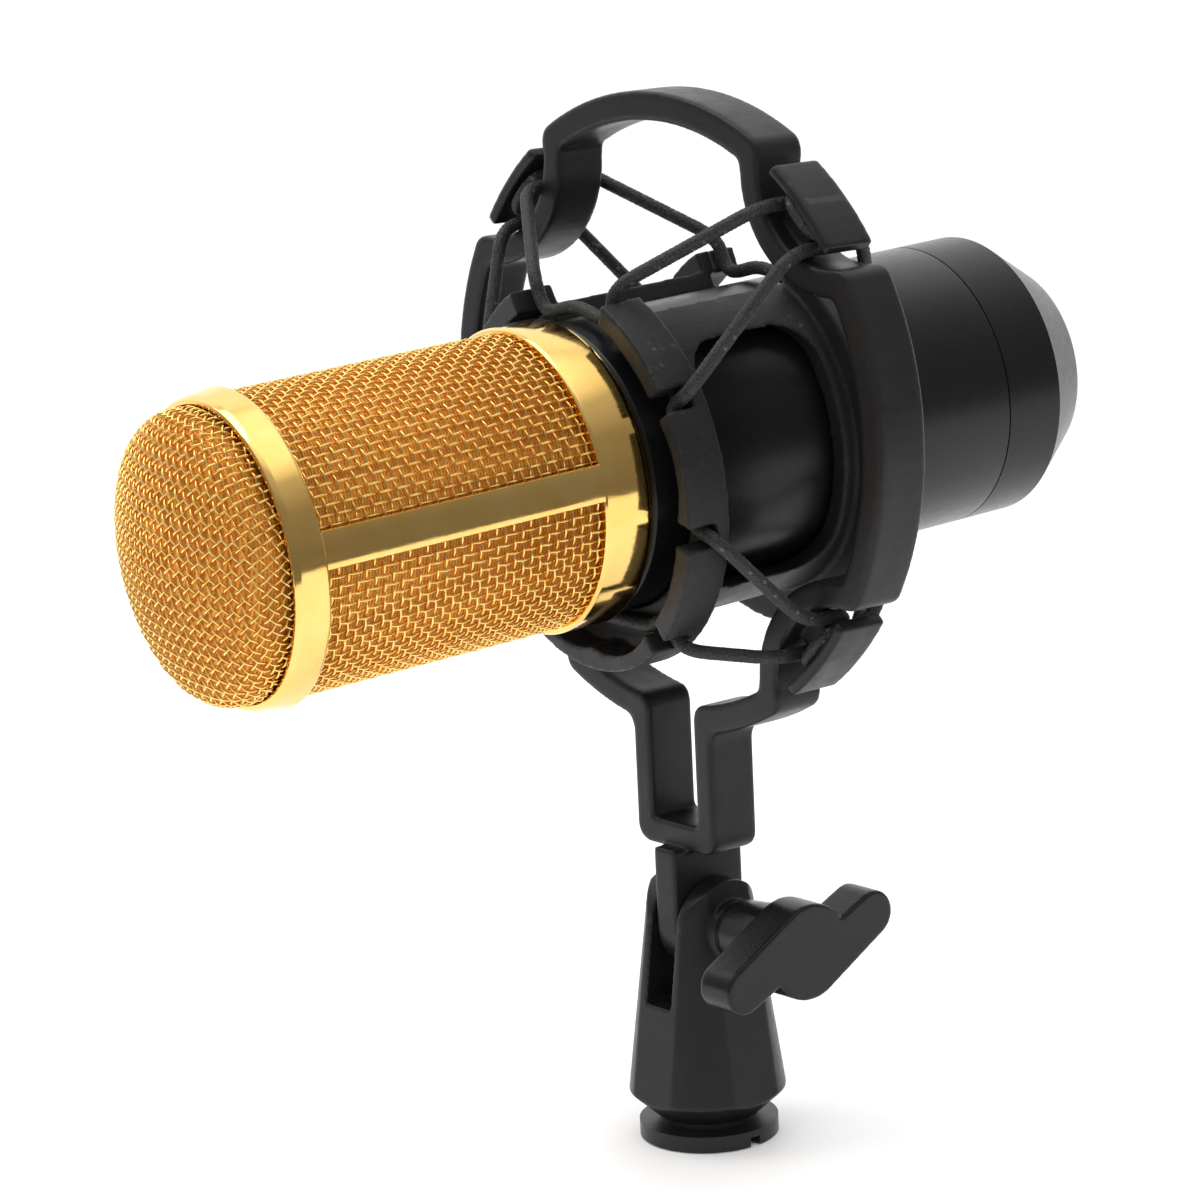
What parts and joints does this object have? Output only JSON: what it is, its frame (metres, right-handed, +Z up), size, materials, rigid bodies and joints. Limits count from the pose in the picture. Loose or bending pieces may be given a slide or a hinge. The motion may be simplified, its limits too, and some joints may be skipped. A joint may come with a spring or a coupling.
{
  "type": "condenser microphone",
  "caption": "Condenser microphone with a gold woven head, hung by elastics in a black spider shock mount on a tilting, clamped stand adapter.",
  "frame": {"origin": "centre of the stand adapter's bottom face, on the axis of its threaded hole", "axes": "+Z up out of the stand, the microphone's head points along -Y with a small droop and yaw, the clamp knob is on +X"},
  "size_m": [0.102, 0.1643, 0.1705],
  "materials": {
    "gold_mesh": "bright woven wire",
    "liner_mesh": "fine woven wire",
    "gold_plate": "polished plate",
    "capsule_shell": "satin",
    "membrane": "metallised film",
    "white_plastic": "moulded",
    "steel": "zinc plated",
    "black_steel": "black oxide",
    "cast_zinc": "cast",
    "board": "solder mask",
    "capacitor": "sleeved",
    "black_part": "moulded",
    "resistor": "lacquered",
    "red_lead": "insulated",
    "blue_lead": "insulated",
    "body_black": "satin black coat",
    "connector_black": "moulded",
    "contact": "plated",
    "cage_black": "moulded with a fine sparkle",
    "frame_black": "moulded satin",
    "elastic_cord": "braided cover",
    "swivel_black": "moulded satin",
    "knob_black": "moulded gloss",
    "adapter_black": "black coat"
  },
  "bodies": {
    "adapter": {"stand_adapter": "adapter_black"},
    "swivel": {"swivel_base": "swivel_black", "hex_nut": "steel"},
    "frame": {"outer_frame": "frame_black", "front_elastic": "elastic_cord", "rear_elastic": "elastic_cord"},
    "cage": {"inner_cage": "cage_black"},
    "microphone": {"dome_mesh": "gold_mesh", "dome_liner": "liner_mesh", "grille_mesh": "gold_mesh", "grille_liner": "liner_mesh", "top_ring": "gold_plate", "base_ring": "gold_plate", "side_straps": "gold_plate", "capsule": "capsule_shell", "capsule_membranes": "membrane", "capsule_saddle": "white_plastic", "capsule_post": "white_plastic", "saddle_screws": "steel", "chassis_deck": "cast_zinc", "chassis_rails": "cast_zinc", "circuit_board": "board", "board_capacitors": "capacitor", "board_transistors": "black_part", "board_resistors": "resistor", "board_screws": "steel", "capsule_wires": "red_lead", "output_wires": "blue_lead", "body_tube": "body_black", "tail_ring": "body_black", "xlr_insert": "connector_black", "xlr_pins": "contact", "insert_screw": "steel"},
    "washer": {"clamp_washer": "black_steel"},
    "knob": {"wing_knob": "knob_black", "clamp_bolt": "steel"}
  },
  "joints": [
    {"name": "base_turn", "type": "hinge", "parent": "adapter", "child": "swivel", "pos_m": [0, 0, 0], "axis": [0, 0, 1], "continuous": true},
    {"name": "frame_tilt", "type": "hinge", "parent": "swivel", "child": "frame", "pos_m": [0, 0, 0.0358], "axis": [1, 0, 0], "range_deg": [-90, 90]},
    {"name": "suspension", "type": "slide", "parent": "frame", "child": "cage", "axis": [0, 0, 1], "range_m": [-0.003, 0.003], "stiffness_N_per_m": 1500, "springref_m": 0.0027, "deforming": ["front_elastic", "rear_elastic"]},
    {"name": "microphone_slide", "type": "slide", "parent": "cage", "child": "microphone", "axis": [-0.1008, -0.9927, -0.0663], "range_m": [0, 0.055]},
    {"name": "washer_slide", "type": "slide", "parent": "swivel", "child": "washer", "axis": [1, 0, 0], "range_m": [0, 0.0015]},
    {"name": "knob_turn", "type": "hinge", "parent": "washer", "child": "knob", "pos_m": [0, 0, 0.0358], "axis": [1, 0, 0], "range_deg": [0, 541]}
  ],
  "couplings": [
    {"joint": "knob_turn", "follows": "washer_slide", "rad_per_m": 6283.2}
  ]
}
